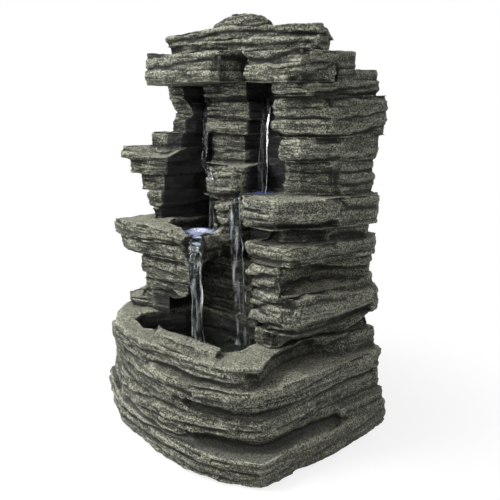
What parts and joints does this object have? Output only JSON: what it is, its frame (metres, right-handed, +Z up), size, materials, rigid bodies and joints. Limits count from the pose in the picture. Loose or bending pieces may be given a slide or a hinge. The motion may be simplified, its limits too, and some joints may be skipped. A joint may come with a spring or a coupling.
{
  "type": "indoor rock fountain",
  "caption": "Tabletop rock fountain: stacked slate castings with lit pools, streams into a basin, a hidden pump and a rear access door",
  "frame": {"origin": "on the floor, under the middle of the bounding box", "axes": "+Z up, the basin's open front faces -Y, +X to the right seen from the front"},
  "size_m": [0.2, 0.1575, 0.3],
  "materials": {
    "rock": "grey-green slate look, dry-brushed",
    "light_cup": "satin",
    "light_board": "white solder mask",
    "seal_rubber": "matte",
    "lens": "frosted",
    "lead_jacket": "matte",
    "pump_plastic": "moulded",
    "core_steel": "laminated",
    "copper": "enamelled wire",
    "shaft_ceramic": "ground",
    "magnet": "sintered ferrite",
    "impeller_plastic": "moulded",
    "strainer_plastic": "moulded",
    "dial_plastic": "moulded",
    "hose": "clear soft tube"
  },
  "bodies": {
    "fountain": {"basin_casting": "rock", "bowl_partition": "rock", "back_wall_casting": "rock", "right_column_casting": "rock", "left_wing_casting": "rock", "left_ledge_casting": "rock", "centre_pier_casting": "rock", "right_pool_casting": "rock", "right_tier_stone": "rock", "cap_left_block": "rock", "cap_right_block": "rock", "cap_rear_stone": "rock", "cap_slab": "rock", "cap_top_stone": "rock", "left_light_housing": "light_cup", "left_light_board": "light_board", "left_light_seal": "seal_rubber", "left_light_lens": "lens", "left_light_lead": "lead_jacket", "right_light_housing": "light_cup", "right_light_board": "light_board", "right_light_seal": "seal_rubber", "right_light_lens": "lens", "right_light_lead": "lead_jacket", "splice_box": "light_cup", "pump_housing": "pump_plastic", "pump_back_plate": "pump_plastic", "stator_core": "core_steel", "stator_coil": "copper", "rear_shaft_bush": "seal_rubber", "front_shaft_bush": "seal_rubber", "rotor_shaft": "shaft_ceramic", "volute_cover": "pump_plastic", "volute_seal": "seal_rubber", "suction_feet": "seal_rubber", "pump_cable_gland": "pump_plastic", "riser_hose": "hose", "header_spout": "pump_plastic", "cord_grommet": "seal_rubber", "foot_pads": "seal_rubber"},
    "rotor": {"rotor_magnet": "magnet", "impeller": "impeller_plastic"},
    "strainer": {"strainer_cover": "strainer_plastic"},
    "dial": {"flow_dial": "dial_plastic"},
    "door": {"rear_door": "rock", "door_seal": "seal_rubber"}
  },
  "joints": [
    {"name": "impeller_spin", "type": "hinge", "parent": "fountain", "child": "rotor", "pos_m": [0, 0.0494, 0.0295], "axis": [1, 0, 0], "continuous": true},
    {"name": "strainer_pull", "type": "slide", "parent": "fountain", "child": "strainer", "axis": [1, 0, 0], "range_m": [0, 0.02]},
    {"name": "flow_dial_turn", "type": "hinge", "parent": "strainer", "child": "dial", "pos_m": [0.0263, 0.0494, 0.0295], "axis": [1, 0, 0], "range_deg": [0, 90]},
    {"name": "door_pull", "type": "slide", "parent": "fountain", "child": "door", "axis": [0, 1, 0], "range_m": [0, 0.03]}
  ]
}
